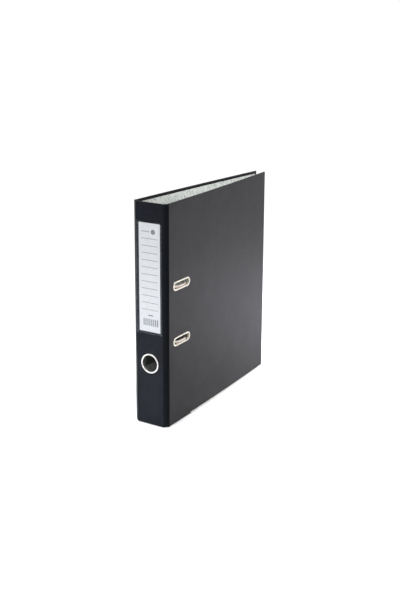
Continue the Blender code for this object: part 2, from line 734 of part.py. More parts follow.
def compressor_plate():
    outline = rounded_rectangle((PLATE_U[0], -PLATE_Z), (PLATE_U[1], PLATE_Z), PLATE_ROUND)
    plate = outline_solid("compressor_plate", outline, *PLATE_H, STEEL, MECH)
    for z in (HOLE_PITCH / 2, -HOLE_PITCH / 2):
        cut(plate, rod_solid("post_hole", (POST_U, z, 0), (POST_U, z, CUT_TOP), PLATE_HOLE, None, MECH))
    for z in (GUIDE_Z, -GUIDE_Z):
        radius = GUIDE_RADIUS + GUIDE_PLAY
        cut(plate, rod_solid("guide_hole", (POST_U, z, 0), (POST_U, z, CUT_TOP), radius, None, MECH))
    return plate


def upright_slot(z_low, z_high, half_width):
    """A slot along z in the mechanism's plan."""
    top = arc_points((POST_U, z_high - half_width), half_width, 0, 180, 8)
    bottom = arc_points((POST_U, z_low + half_width), half_width, 180, 360, 8)
    return outline_solid("catch_slot", top + bottom, 0, CUT_TOP, None, MECH)


def compressor_catch():
    """Sliding strip on the compressor with a thumb tab at its upper end."""
    outline = rounded_rectangle((CATCH_U[0], -CATCH_Z), (CATCH_U[1], CATCH_Z), CATCH_ROUND)
    catch = outline_solid("compressor_catch", outline, *CATCH_H, NICKEL, MECH)
    low, high = zip(TAB_U, TAB_Z, TAB_H)
    join(catch, box_solid("tab", low, high, None, MECH))
    for z in (HOLE_PITCH / 2, -HOLE_PITCH / 2):
        cut(catch, upright_slot(z - PLATE_HOLE - CATCH_TRAVEL, z + PLATE_HOLE, PLATE_HOLE))
    for z in (GUIDE_Z, -GUIDE_Z):
        cut(catch, upright_slot(z - GUIDE_SLOT_HALF - CATCH_TRAVEL, z + GUIDE_SLOT_HALF, GUIDE_SLOT_HALF))
    return catch


def catch_rivets():
    """Two guide rivets that the catch slides on."""
    made = []
    for name, z in (("catch_rivet_upper", GUIDE_Z), ("catch_rivet_lower", -GUIDE_Z)):
        low, high = PLATE_H[0] - HEAD_REACH, CATCH_H[1] + HEAD_REACH
        rivet = rod_solid(name, (POST_U, z, low), (POST_U, z, high), GUIDE_RADIUS, NICKEL, MECH)
        for foot in (low, high - HEAD_THICK):
            top = (POST_U, z, foot + HEAD_THICK)
            join(rivet, rod_solid("head", (POST_U, z, foot), top, GUIDE_HEAD, None, MECH))
        made.append(rivet)
    return made


def pivot(name, at, holder):
    """An empty on a joint's axis, kept where it is and hung from its holder."""
    empty = bpy.data.objects.new(name, None)
    empty.location = Vector(at) * MM
    empty.empty_display_size = 0.01
    PARTS.objects.link(empty)
    bpy.context.view_layer.update()
    hang([empty], holder)
    return empty


def hang(objects, holder):
    bpy.context.view_layer.update()
    for obj in objects:
        obj.parent = holder
        obj.matrix_parent_inverse = holder.matrix_world.inverted() if holder else Matrix()
        for change in obj.modifiers:
            if change.type == "BOOLEAN":
                change.object.parent = holder
                change.object.matrix_parent_inverse = obj.matrix_parent_inverse


def mech_point(u, z, h):
    return MECH @ Vector((u, z, h))


def centre_over_origin(root, objects):
    """Moves the whole assembly so that its bounds stand centred on the origin."""
    bpy.context.view_layer.update()
    graph = bpy.context.evaluated_depsgraph_get()
    low = Vector((1e9, 1e9, 1e9))
    high = -low
    for obj in objects:
        found = obj.evaluated_get(graph)
        for corner in found.to_mesh().vertices:
            place = found.matrix_world @ corner.co
            low = Vector(map(min, low, place))
            high = Vector(map(max, high, place))
        found.to_mesh_clear()
    root.location -= Vector(((low.x + high.x) / 2, (low.y + high.y) / 2, low.z))


def build():
    root = bpy.data.objects.new("lever_arch_file_root", None)
    PARTS.objects.link(root)
    fold_h = FOLD / 2
    fold_x = HALF_WIDTH - FOLD / 2
    spine_axis = pivot("spine_hinge_axis", (-fold_x, fold_h, MID), root)
    front_axis = pivot("front_hinge_axis", (fold_x, fold_h, MID), spine_axis)
    label_axis = pivot("label_slide_axis", (0.0, LABEL_FACES[0], LABEL_LOW), spine_axis)
    arch_axis = pivot("arch_swing_axis", mech_point(SHAFT_U, 0.0, SHAFT_H), root)
    lever_axis = pivot("lever_axis", mech_point(LEVER_U[0], LEVER_Z, LEVER_H), root)
    roller_at = mech_point(ROLLER_U[0], LEVER_Z - ROLLER_OFFSET, LEVER_H - ROLLER_OFFSET)
    roller_axis = pivot("roller_axis", roller_at, lever_axis)
    slide_axis = pivot("compressor_slide_axis", mech_point(POST_U, 0.0, PLATE_H[0]), root)
    catch_axis = pivot("catch_slide_axis", mech_point(POST_U, 0.0, CATCH_H[0]), slide_axis)

    groups = (
        (root, back_cover() + [base_plate()] + mechanism_rivets() + posts() + saddles()),
        (root, [lever_bracket(), lever_pin(), leaf_spring(), spring_rivet()]),
        (spine_axis, spine() + fold_films()),
        (label_axis, label()),
        (front_axis, front_cover()),
        (arch_axis, [arch_wire(), arch_crank()]),
        (lever_axis, [lever_arm(), lever_grip(), roller_pin()]),
        (roller_axis, [lever_roller()]),
        (slide_axis, [compressor_plate()] + catch_rivets()),
        (catch_axis, [compressor_catch()]),
    )
    every = []
    for holder, objects in groups:
        hang(objects, holder)
        every += objects
    for obj in every:
        if obj.name in ("lever_grip", "compressor_plate"):
            soften(obj, EDGE_ROUND)
    centre_over_origin(root, every)


build()
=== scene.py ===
"""Visual model of the lever arch file: wrapped boards, label, fittings and mechanism on its frame."""

import json
import math

import bmesh
import bpy
from mathutils import Matrix, Vector


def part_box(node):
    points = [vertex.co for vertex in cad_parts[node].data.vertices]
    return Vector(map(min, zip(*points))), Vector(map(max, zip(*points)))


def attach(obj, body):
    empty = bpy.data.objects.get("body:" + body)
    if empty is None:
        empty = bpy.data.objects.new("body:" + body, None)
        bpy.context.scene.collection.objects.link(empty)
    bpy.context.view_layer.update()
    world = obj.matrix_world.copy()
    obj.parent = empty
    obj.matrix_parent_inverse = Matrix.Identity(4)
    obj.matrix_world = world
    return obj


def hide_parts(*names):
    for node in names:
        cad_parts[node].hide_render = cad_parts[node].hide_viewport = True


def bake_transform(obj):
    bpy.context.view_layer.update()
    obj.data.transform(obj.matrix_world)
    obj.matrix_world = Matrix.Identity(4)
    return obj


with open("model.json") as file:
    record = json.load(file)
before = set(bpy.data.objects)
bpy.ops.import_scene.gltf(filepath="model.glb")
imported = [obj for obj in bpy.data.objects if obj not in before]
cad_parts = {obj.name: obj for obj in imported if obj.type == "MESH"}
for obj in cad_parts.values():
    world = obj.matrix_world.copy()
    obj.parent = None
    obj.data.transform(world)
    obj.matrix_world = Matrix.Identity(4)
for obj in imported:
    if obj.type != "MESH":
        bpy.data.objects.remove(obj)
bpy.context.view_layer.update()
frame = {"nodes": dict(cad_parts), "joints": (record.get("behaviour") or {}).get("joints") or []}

MM = 0.001
NODES = frame["nodes"]
JOINTS = {joint["name"]: joint for joint in frame["joints"]}

# Case, in millimetres, as in the CAD
HEIGHT = 318.0
DEPTH = 285.0
HALF_WIDTH = 27.5
FOLD = 5.7
PANEL = 2.45
FILM = 0.3
MID = HEIGHT / 2
HOLE_PITCH = 80.0

# The film wrapped round a board: the gap left at a fold, the face and width of its turned-in edge,
# the depth where the lining's window starts, and how far a cutter runs past what it cuts
WRAP_GAP = 0.06
TURN_IN = 2.15
TURN_IN_WIDTH = 4.0
WINDOW_DEPTH = 1.9
SPARE = 5.0
BOW_STEPS = 40

# Slots in the front cover: their middle along it and how far above the case's middle the two are centred,
# the half length that sets their tilt, their size inside the eyelet, and the size of the cut in the film
SLOT_U = 32.2
SLOT_RAISED = 1.2
SLOT_REACH = 21.0
SLOT_INNER = (38.0, 9.0)
SLOT_CUT = (39.8, 10.8)

# Finger ring in the spine: height of its middle, radius of the hole in the film, steps round it
RING_HEIGHT = 90.3
RING_HOLE = 12.9
RING_STEPS = 96

# Clear pocket on the spine: half width, ends, width of the weld and its two faces in front of the spine
POCKET_HALF = 20.5
POCKET_LOW = 134.0
POCKET_HIGH = 292.0
WELD_WIDTH = 0.9
WELD_BACK = 0.97
WELD_FRONT = 1.10

# Mechanism, with u along the back cover from its fold and h above its lining: the shaft's place, half length
# and radius, then the post's place and the arches' top, bend, tip and radius
SHAFT_U = 19.6
SHAFT_H = 5.4
SHAFT_REACH = 56.0
SHAFT_RADIUS = 2.2
POST_U = 57.6
ARCH_TOP = 47.0
ARCH_CORNER = 16.0
ARCH_TIP = 27.0
ARCH_RADIUS = 1.8

# A wire's rounded end: its share of the radius, and how far in it starts, as a share of the radius
WIRE_END = 0.78
WIRE_END_LEAD = 0.35

# Print on the label: left, right, low and high edges from its middle and from the case's lower edge
LABEL_MIDDLE = 0.8
RULED = (-13.0, 13.0, 167.5, 269.5)
RULE_START = 168.5
RULE_HALF_PITCH = 5.0
RULE_HALF = 0.42
BARRED = (-11.0, 13.5, 145.5, 155.5)
BAR_HALF_PITCH = 1.6
BAR_HALF = 0.75
HEADING = (-12.5, 0.5, 277.2, 279.0)
SHORT_MARK = (-2.5, 5.5, 159.5, 161.3)
DOT_MIDDLE = (6.0, 278.2)
DOT_RADIUS_SQUARED = 12.0

# Camera: eye in case millimetres, turn in radians, sensor and lens in millimetres, and the picture's shift
# as a share of its height
EYE = (755.31, -1108.02, 605.33)
YAW = -0.54724
PITCH = 0.24758
ROLL = 0.00384
SENSOR = 36.0
LENS = 61.7928
SHIFT = -0.1

# Strength of the even light all round, and half the floor's width in metres
WORLD_STRENGTH = 1.12
FLOOR_HALF = 60.0

SPINE_LOW, SPINE_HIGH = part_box("spine_covering")
CASE_ORIGIN = Vector(((SPINE_LOW.x + SPINE_HIGH.x) / 2, SPINE_LOW.y, SPINE_LOW.z))


# ---------------------------------------------------------------- mesh helpers


def place(points):
    """Case millimetres to metres in the row frame."""
    return [Vector(point) * MM + CASE_ORIGIN for point in points]


def on_seat(seat, points):
    """Millimetres in a seat's own axes to metres in the row frame."""
    return [seat @ (Vector(point) * MM) for point in points]


def new_object(name, verts, faces):
    mesh = bpy.data.meshes.new(name)
    mesh.from_pydata([tuple(v) for v in verts], [], faces)
    shape = bmesh.new()
    shape.from_mesh(mesh)
    bmesh.ops.remove_doubles(shape, verts=shape.verts, dist=1e-7)
    bmesh.ops.recalc_face_normals(shape, faces=shape.faces)
    shape.to_mesh(mesh)
    shape.free()
    obj = bpy.data.objects.new(name, mesh)
    bpy.context.scene.collection.objects.link(obj)
    return obj


def prism(name, outline, low, high, seat=None):
    """An outline in millimetres extruded from low to high, upright in the case or on a seat of its own."""
    count = len(outline)
    corners = [(x, y, low) for x, y in outline] + [(x, y, high) for x, y in outline]
    verts = place(corners) if seat is None else on_seat(seat, corners)
    sides = [(i, (i + 1) % count, count + (i + 1) % count, count + i) for i in range(count)]
    caps = [tuple(reversed(range(count))), tuple(range(count, 2 * count))]
    return new_object(name, verts, sides + caps)


def closed_sweep(name, loops):
    """Faces between each loop of points and the next, and between the last and the first."""
    count = len(loops[0])
    faces = []
    for k in range(len(loops)):
        after = (k + 1) % len(loops)
        for i in range(count):
            j = (i + 1) % count
            faces.append((k * count + i, k * count + j, after * count + j, after * count + i))
    return new_object(name, [point for loop in loops for point in loop], faces)


def applied(obj):
    """The object's modifiers made into its mesh."""
    bpy.context.view_layer.update()
    graph = bpy.context.evaluated_depsgraph_get()
    mesh = bpy.data.meshes.new_from_object(obj.evaluated_get(graph))
    obj.modifiers.clear()
    obj.data = mesh


def bevelled(obj, width, segments, angle=35.0):
    """A rounded edge, its width in millimetres, as a modifier."""
    change = obj.modifiers.new("edge", "BEVEL")
    change.width = width * MM
    change.segments = segments
    change.limit_method = "ANGLE"
    change.angle_limit = math.radians(angle)
    change.use_clamp_overlap = True
    return obj


def cut_by(obj, cutter):
    """Takes the cutter's volume out of the object and removes the cutter."""
    change = obj.modifiers.new("cut", "BOOLEAN")
    change.operation = "DIFFERENCE"
    change.solver = "EXACT"
    change.object = cutter
    applied(obj)
    bpy.data.objects.remove(cutter, do_unlink=True)


def smooth(obj, angle=38.0, weight=60):
    """Smooth shading with sharp edges kept, and big faces left flat. No point of the mesh moves."""
    obj.data.polygons.foreach_set("use_smooth", [True] * len(obj.data.polygons))
    obj.data.set_sharp_from_angle(angle=math.radians(angle))
    weights = obj.modifiers.new("face_weights", "WEIGHTED_NORMAL")
    weights.keep_sharp = True
    weights.weight = weight
    return obj


def finish_piece(obj, surface, body, stands_for=()):
    """Gives a piece its material, its body and the CAD nodes it stands for."""
    obj.data.materials.clear()
    obj.data.materials.append(surface)
    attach(obj, body)
    if stands_for:
        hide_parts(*stands_for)


# ---------------------------------------------------------------- materials


class Nodes:
    """A short way to build one material's node tree."""

    def __init__(self, name):
        self.material = bpy.data.materials.new(name)
        self.material.use_nodes = True
        self.tree = self.material.node_tree
        self.shader = self.tree.nodes["Principled BSDF"]
        self.coords = self.tree.nodes.new("ShaderNodeTexCoord").outputs["Object"]

    def add(self, kind, **settings):
        node = self.tree.nodes.new(kind)
        for key, value in settings.items():
            setattr(node, key, value)
        return node

    def link(self, source, target):
        self.tree.links.new(source, target)

    def axis(self, name):
        node = self.add("ShaderNodeSeparateXYZ")
        self.link(self.coords, node.inputs[0])
        return node.outputs[name]

    def stretched(self, scale):
        node = self.add("ShaderNodeMapping")
        node.inputs["Scale"].default_value = scale
        self.link(self.coords, node.inputs["Vector"])
        return node.outputs["Vector"]

    def noise(self, size_mm, detail=3.0, roughness=0.55, vector=None, distortion=0.0):
        node = self.add("ShaderNodeTexNoise")
        node.inputs["Scale"].default_value = 1000.0 / size_mm
        node.inputs["Detail"].default_value = detail
        node.inputs["Roughness"].default_value = roughness
        node.inputs["Distortion"].default_value = distortion
        self.link(vector or self.coords, node.inputs["Vector"])
        return node.outputs["Fac"]

    def cells(self, size_mm):
        node = self.add("ShaderNodeTexVoronoi", feature="SMOOTH_F1")
        node.inputs["Scale"].default_value = 1000.0 / size_mm
        self.link(self.coords, node.inputs["Vector"])
        return node.outputs["Distance"]

    def waves(self, pitch_mm, distortion):
        """Wandering diagonal lines, about pitch_mm apart on an upright face."""
        node = self.add("ShaderNodeTexWave", bands_direction="DIAGONAL")
        node.inputs["Scale"].default_value = 2 * math.pi / (10 * math.sqrt(2) * pitch_mm * MM)
        node.inputs["Distortion"].default_value = distortion
        node.inputs["Detail"].default_value = 3.0
        node.inputs["Detail Scale"].default_value = 0.6
        self.link(self.coords, node.inputs["Vector"])
        return node.outputs["Fac"]

    def ramp(self, value, stops):
        node = self.add("ShaderNodeValToRGB")
        elements = node.color_ramp.elements
        while len(elements) < len(stops):
            elements.new(0.5)
        for element, (position, colour) in zip(elements, stops):
            element.position = position
            element.color = (*colour, 1.0)
        self.link(value, node.inputs["Fac"])
        return node.outputs["Color"]

    def span(self, value, low, high, from_low=0.0, from_high=1.0):
        """The value moved from one range to another, and held at its ends."""
        node = self.add("ShaderNodeMapRange")
        node.inputs["From Min"].default_value = from_low
        node.inputs["From Max"].default_value = from_high
        node.inputs["To Min"].default_value = low
        node.inputs["To Max"].default_value = high
        self.link(value, node.inputs["Value"])
        return node.outputs["Result"]

    def calc(self, first, second, operation="ADD"):
        """One operation on two values, each a number or a link."""
        node = self.add("ShaderNodeMath", operation=operation)
        for socket, value in zip(node.inputs, (first, second)):
            if isinstance(value, (int, float)):
                socket.default_value = value
            else:
                self.link(value, socket)
        return node.outputs[0]

    def mix(self, factor, tone, colour):
        """The tone going over to a plain colour as the factor rises."""
        node = self.add("ShaderNodeMix", data_type="RGBA")
        self.link(factor, node.inputs[0])
        self.link(tone, node.inputs[6])
        node.inputs[7].default_value = (*colour, 1.0)
        return node.outputs[2]

    def bump(self, height, distance_mm, strength, after=None):
        node = self.add("ShaderNodeBump")
        node.inputs["Distance"].default_value = distance_mm * MM
        node.inputs["Strength"].default_value = strength
        self.link(height, node.inputs["Height"])
        if after is not None:
            self.link(after, node.inputs["Normal"])
        return node.outputs["Normal"]

    def set(self, **values):
        """Numbers and links on the shader's own sockets."""
        for key, value in values.items():
            socket = self.shader.inputs[key.replace("_", " ")]
            if isinstance(value, (int, float)):
                socket.default_value = value
            else:
                self.link(value, socket)


def film_material(name, dark, light, shine, painted_crease_shade=None):
    """Grained plastic film over board; a painted shade colour takes over across the crease, from the spine's
    edge to the cover's.
    """
    n = Nodes(name)
    tone = n.ramp(n.noise(90.0, 2.0), ((0.3, dark), (0.7, light)))
    patches = n.span(n.noise(24.0, 4.0), 0.5, 0.0, 0.38, 0.56)
    tone = n.mix(patches, tone, tuple(c * 0.3 for c in dark))
    specks = n.span(n.noise(0.9, 2.0), 0.0, 0.35, 0.35, 0.75)
    tone = n.mix(specks, tone, tuple(c * 1.9 + 0.003 for c in light))
    height_above = n.axis("Z")
    from_foot = n.calc(height_above, CASE_ORIGIN.z, "SUBTRACT")
    from_top = n.calc(CASE_ORIGIN.z + HEIGHT * MM, height_above, "SUBTRACT")
    from_edge = n.calc(from_foot, from_top, "MINIMUM")
    rubbed = n.span(from_edge, 0.30, 0.0, 0.0002, 0.0009)
    tone = n.mix(n.calc(rubbed, n.noise(5.0, 4.0), "MULTIPLY"), tone, (0.05, 0.05, 0.052))
    # Painted shade: across the crease the film turns to a darker colour, from the spine's edge towards the
    # cover, standing in for the shade in the fold.
    if painted_crease_shade:
        from_middle = n.calc(n.calc(n.axis("X"), CASE_ORIGIN.x, "SUBTRACT"), 0.0, "ABSOLUTE")
        share = n.span(from_middle, 0.0, 1.0, (HALF_WIDTH - FOLD) * MM, (HALF_WIDTH - 0.45 * FOLD) * MM)
        tone = n.mix(share, tone, painted_crease_shade)
    grain = n.cells(0.75)
    normal = n.bump(n.calc(grain, n.noise(0.35, 2.0)), 0.05, 0.22)
    normal = n.bump(n.noise(28.0, 2.0), 0.5, 0.12, normal)
    rough = n.span(n.noise(3.0, 3.0), 0.37, 0.54)
    n.set(Base_Color=tone, Roughness=rough, Normal=normal, Specular_IOR_Level=shine)
    return n.material


def cloud_paper_material():
    """Pale grey-green lining paper with a printed cloud pattern."""
    n = Nodes("cloud_paper_print")
    clouds = n.noise(16.0, 6.0, 0.66, distortion=2.2)
    greys = (0.32, (0.46, 0.48, 0.465)), (0.48, (0.60, 0.62, 0.60)), (0.64, (0.685, 0.705, 0.68))
    tone = n.ramp(clouds, greys)
    strokes = n.span(n.waves(5.0, 9.0), 0.0, 0.68, 0.60, 1.0)
    broken = n.span(n.noise(9.0, 4.0, 0.6), 0.0, 1.0, 0.42, 0.58)
    tone = n.mix(n.calc(strokes, broken, "MULTIPLY"), tone, (0.20, 0.225, 0.205))
    normal = n.bump(n.noise(0.4, 3.0), 0.03, 0.4)
    n.set(Base_Color=tone, Roughness=n.span(n.noise(5.0), 0.6, 0.78), Normal=normal)
    return n.material


def metal_material(name, colour, rough_low, rough_high, brushed=(1.0, 1.0, 0.12)):
    """Plated metal with smudges and fine lines, drawn out along the axis where brushed is small."""
    n = Nodes(name)
    smudge = n.noise(9.0, 4.0, 0.6)
    tone = n.ramp(smudge, ((0.3, tuple(c * 0.9 for c in colour)), (0.7, colour)))
    lines = n.noise(0.5, 3.0, 0.6, n.stretched(brushed))
    rough = n.span(n.calc(n.span(smudge, 0.0, 0.6), n.span(lines, 0.0, 0.4)), rough_low, rough_high)
    normal = n.bump(lines, 0.02, 0.5)
    n.set(Base_Color=tone, Roughness=rough, Metallic=1.0, Normal=normal)
    return n.material


def moulded_material():
    """Black moulded plastic of the grip and the roller."""
    n = Nodes("moulded_black")
    tone = n.ramp(n.noise(6.0, 3.0), ((0.3, (0.018, 0.018, 0.02)), (0.7, (0.032, 0.032, 0.035))))
    normal = n.bump(n.noise(0.5, 3.0), 0.03, 0.5)
    n.set(Base_Color=tone, Roughness=n.span(n.noise(2.0), 0.38, 0.55), Normal=normal)
    return n.material


def board_material():
    """Grey board, inside the film and the lining."""
    n = Nodes("greyboard_fibre")
    tone = n.ramp(n.noise(1.4, 5.0, 0.7), ((0.3, (0.24, 0.21, 0.17)), (0.7, (0.40, 0.36, 0.30))))
    normal = n.bump(n.noise(0.5, 4.0, 0.7), 0.1, 0.6)
    n.set(Base_Color=tone, Roughness=0.9, Normal=normal)
    return n.material


def label_material():
    """White card with ruled lines, a plain heading strip and dot, a short mark and a block of even bars."""
    n = Nodes("ruled_card")
    x = n.calc(n.calc(n.axis("X"), CASE_ORIGIN.x + LABEL_MIDDLE * MM, "SUBTRACT"), 1000.0, "MULTIPLY")
    z = n.calc(n.calc(n.axis("Z"), CASE_ORIGIN.z, "SUBTRACT"), 1000.0, "MULTIPLY")

    def within(value, low, high):
        above = n.calc(value, low, "GREATER_THAN")
        return n.calc(above, n.calc(value, high, "LESS_THAN"), "MULTIPLY")

    def block(left, right, low, high):
        return n.calc(within(x, left, right), within(z, low, high), "MULTIPLY")

    def stripes(value, half_pitch, half_width, edges):
        near = n.calc(n.calc(value, half_pitch, "PINGPONG"), half_width, "LESS_THAN")
        return n.calc(near, block(*edges), "MULTIPLY")

    rules = stripes(n.calc(z, RULE_START, "SUBTRACT"), RULE_HALF_PITCH, RULE_HALF, RULED)
    bars = stripes(x, BAR_HALF_PITCH, BAR_HALF, BARRED)
    across = n.calc(x, DOT_MIDDLE[0], "SUBTRACT")
    up = n.calc(z, DOT_MIDDLE[1], "SUBTRACT")
    squared = n.calc(n.calc(across, across, "MULTIPLY"), n.calc(up, up, "MULTIPLY"))
    dot = n.calc(squared, DOT_RADIUS_SQUARED, "LESS_THAN")
    marks = n.calc(dot, block(*SHORT_MARK), "MAXIMUM")
    paper = n.ramp(n.noise(3.0, 4.0), ((0.3, (0.528, 0.536, 0.550)), (0.7, (0.582, 0.590, 0.604))))
    tone = n.mix(n.calc(rules, 0.85, "MULTIPLY"), paper, (0.13, 0.14, 0.15))
    tone = n.mix(n.calc(block(*HEADING), 0.7, "MULTIPLY"), tone, (0.20, 0.21, 0.23))
    tone = n.mix(n.calc(bars, 0.95, "MULTIPLY"), tone, (0.05, 0.055, 0.065))
    tone = n.mix(n.calc(marks, 0.8, "MULTIPLY"), tone, (0.05, 0.055, 0.065))
    normal = n.bump(n.noise(0.35, 3.0), 0.02, 0.4)
    n.set(Base_Color=tone, Roughness=n.span(n.noise(6.0), 0.55, 0.7), Normal=normal)
    return n.material


def clear_material(name, alpha, tint):
    """Clear soft film: mostly see-through, faintly milky, with shallow ripples."""
    n = Nodes(name)
    tone = n.ramp(n.noise(5.0, 3.0), ((0.3, tint), (0.7, tuple(c * 1.08 for c in tint))))
    normal = n.bump(n.noise(14.0, 2.0), 0.25, 0.5)
    n.set(Base_Color=tone, Roughness=n.span(n.noise(4.0), 0.10, 0.22), Normal=normal)
    n.set(Alpha=alpha, IOR=1.45)
    return n.material


COVER = film_material("black_film", (0.0063, 0.0055, 0.0068), (0.0098, 0.0087, 0.0103), 0.18)
NAVY = (0.0036, 0.0048, 0.0084), (0.0056, 0.0070, 0.0114)
SPINE = film_material("black_film_spine", *NAVY, 0.09)
# Film at the folds: the spine's navy tones, with a darker painted shade colour laid across the crease.
CREASE = film_material("black_film_crease_painted_shade", *NAVY, 0.07, (0.0012, 0.0018, 0.0034))
CLOUD = cloud_paper_material()
NICKEL = metal_material("bright_nickel", (0.70, 0.685, 0.65), 0.30, 0.42)
EYELET = metal_material("eyelet_plating", (0.80, 0.755, 0.68), 0.46, 0.58)
WIRE = metal_material("arch_plating", (0.66, 0.60, 0.55), 0.34, 0.48)
STEEL = metal_material("mechanism_plating", (0.50, 0.50, 0.515), 0.20, 0.38, (1.0, 1.0, 0.08))
ZINC = metal_material("edge_strip_metal", (0.58, 0.575, 0.56), 0.32, 0.48, (1.0, 0.05, 1.0))
BLACK = moulded_material()
BOARD = board_material()
CARD = label_material()
CLEAR = clear_material("clear_pocket_film", 0.024, (0.42, 0.45, 0.50))
WELD = clear_material("pocket_weld", 0.10, (0.22, 0.24, 0.27))


# ---------------------------------------------------------------- covers


class Cover:
    """A bowed cover in plan: u runs from the fold to the fore edge, depth goes inwards."""

    def __init__(self, side, lean, bow, body):
        self.side = side
        self.body = body
        self.fold = Vector((side * HALF_WIDTH, FOLD))
        self.along = Vector((-side * math.sin(lean), math.cos(lean)))
        self.outward = Vector((side * math.cos(lean), math.sin(lean)))
        self.bow = bow
        self.length = (DEPTH - FOLD) / math.cos(lean)

    def point(self, u, depth):
        share = u / self.length
        rise = 4 * self.bow * share * (1 - share)
        return self.fold + self.along * u + self.outward * (rise - depth)

    def prism(self, name, u_span, depths, z_span):
        """A slab between two distances along the cover, two depths and two heights."""
        low, high = u_span
        outer, inner = depths
        stops = [low + (high - low) * i / BOW_STEPS for i in range(BOW_STEPS + 1)]
        there = [self.point(u, outer) for u in stops]
        back = [self.point(u, inner) for u in reversed(stops)]
        return prism(name, there + back, *z_span)

    def seat(self, u_middle, reach, z):
        """Axes on the outer face: X along the cover, Y up, and Z from both, square to the face."""
        first, last = self.point(u_middle - reach, 0.0), self.point(u_middle + reach, 0.0)
        along = (last - first).normalized().to_3d()
        up = Vector((0.0, 0.0, 1.0))
        middle = (first + last) / 2
        turn = Matrix((along, up, along.cross(up))).transposed().to_4x4()
        return Matrix.Translation(place([(middle.x, middle.y, z)])[0]) @ turn


FRONT = Cover(side=1, lean=0.0127, bow=2.1, body="front_cover")
BACK = Cover(side=-1, lean=0.1219, bow=1.2, body="back_cover")


def arc(centre, radius, first, last, steps):
    """Points round a centre from one angle to another, in degrees."""
    found = []
    for step in range(steps + 1):
        angle = math.radians(first + (last - first) * step / steps)
        found.append((centre[0] + radius * math.cos(angle), centre[1] + radius * math.sin(angle)))
    return found


def stadium(length, width):
    """A long outline with half-round ends."""
    reach = (length - width) / 2
    return arc((reach, 0.0), width / 2, -90, 90, 20) + arc((-reach, 0.0), width / 2, 90, 270, 20)


def slot_seat(half):
    """Axes of the slot that lies half a hole pitch above or below."""
    return FRONT.seat(SLOT_U, SLOT_REACH, MID + SLOT_RAISED + half)


def ring_seat():
    """Axes on the spine's outer face at the finger ring: Z points inwards."""
    middle = place([(0.0, 0.0, RING_HEIGHT)])[0]
    return Matrix.Translation(middle) @ Matrix.Rotation(-math.pi / 2, 4, "X")


def cover_skin(cover, name, stands_for):
    """A rounded slab with its inside and the lining's window taken out, leaving the wrapped film."""
    slab = cover.prism(name, (WRAP_GAP, cover.length), (0.0, PANEL), (0.0, HEIGHT))
    applied(bevelled(slab, 0.75, 3))
    start = WRAP_GAP - SPARE
    inside = (start, cover.length - FILM), (FILM, TURN_IN), (FILM, HEIGHT - FILM)
    cut_by(slab, cover.prism("hollow", *inside))
    z_span = (TURN_IN_WIDTH, HEIGHT - TURN_IN_WIDTH)
    window = (start, cover.length - TURN_IN_WIDTH), (WINDOW_DEPTH, SPARE), z_span
    cut_by(slab, cover.prism("window", *window))
    if cover is FRONT:
        for half in (-HOLE_PITCH / 2, HOLE_PITCH / 2):
            cut_by(slab, prism("slot", stadium(*SLOT_CUT), -SPARE, SPARE, slot_seat(half)))
    finish_piece(smooth(slab), COVER, cover.body, (stands_for,))


def spine_skin():
    """The film round the spine's board, with its own window and the hole for the finger ring."""
    edge = HALF_WIDTH - FOLD - WRAP_GAP
    outline = [(-edge, 0.0), (edge, 0.0), (edge, PANEL), (-edge, PANEL)]
    slab = prism("spine_wrap", outline, 0.0, HEIGHT)
    applied(bevelled(slab, 0.7, 3))
    wide = edge + SPARE
    inside = [(-wide, FILM), (wide, FILM), (wide, TURN_IN), (-wide, TURN_IN)]
    cut_by(slab, prism("hollow", inside, FILM, HEIGHT - FILM))
    window = [(-wide, WINDOW_DEPTH), (wide, WINDOW_DEPTH), (wide, SPARE), (-wide, SPARE)]
    cut_by(slab, prism("window", window, TURN_IN_WIDTH, HEIGHT - TURN_IN_WIDTH))
    cut_by(slab, prism("finger_hole", arc((0, 0), RING_HOLE, 0, 355, 71), -SPARE, SPARE, ring_seat()))
    finish_piece(smooth(slab), SPINE, "spine", ("spine_covering",))


def fold_strip(cover, name, near, far, form, surface, margin, stands_for=()):
    """A narrow curved strip across a fold, between the spine and its cover.

    The form is its thickness, how far its middle sinks in, and how far it runs past near and far.
    """
    thickness, sink, overlap = form
    near, far = Vector(near), Vector(far)
    inward = Vector((-cover.side, 1.0)).normalized()
    steps = 12
    set_in = 0.12
    outer = []
    for step in range(steps + 1):
        share = -overlap + (1 + 2 * overlap) * step / steps
        hollow = sink * max(0.0, math.sin(math.pi * min(max(share, 0.0), 1.0)))
        outer.append(near.lerp(far, share) + inward * (hollow + set_in))
    inner = [point + inward * thickness for point in reversed(outer)]
    strip = smooth(prism(name, outer + inner, margin, HEIGHT - margin))
    strip.data.materials.append(surface)
    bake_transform(strip)
    if stands_for:
        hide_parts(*stands_for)


def fold(cover, stands_for):
    """The film outside one fold and the lining inside it."""
    side = cover.side
    name = f"{cover.body}_crease"
    near = (side * (HALF_WIDTH - FOLD), 0.0)
    far = (side * HALF_WIDTH, FOLD)
    fold_strip(cover, name, near, far, (0.4, 0.45, 0.10), CREASE, 0.0, (stands_for,))
    near = (side * (HALF_WIDTH - FOLD - 0.6), PANEL - 0.3)
    far = (side * (HALF_WIDTH - PANEL + 0.3), FOLD + 0.6)
    form = (0.25, -0.9, 0.06)
    fold_strip(cover, f"{name}_lining", near, far, form, CLOUD, TURN_IN_WIDTH)


# ---------------------------------------------------------------- metal fittings


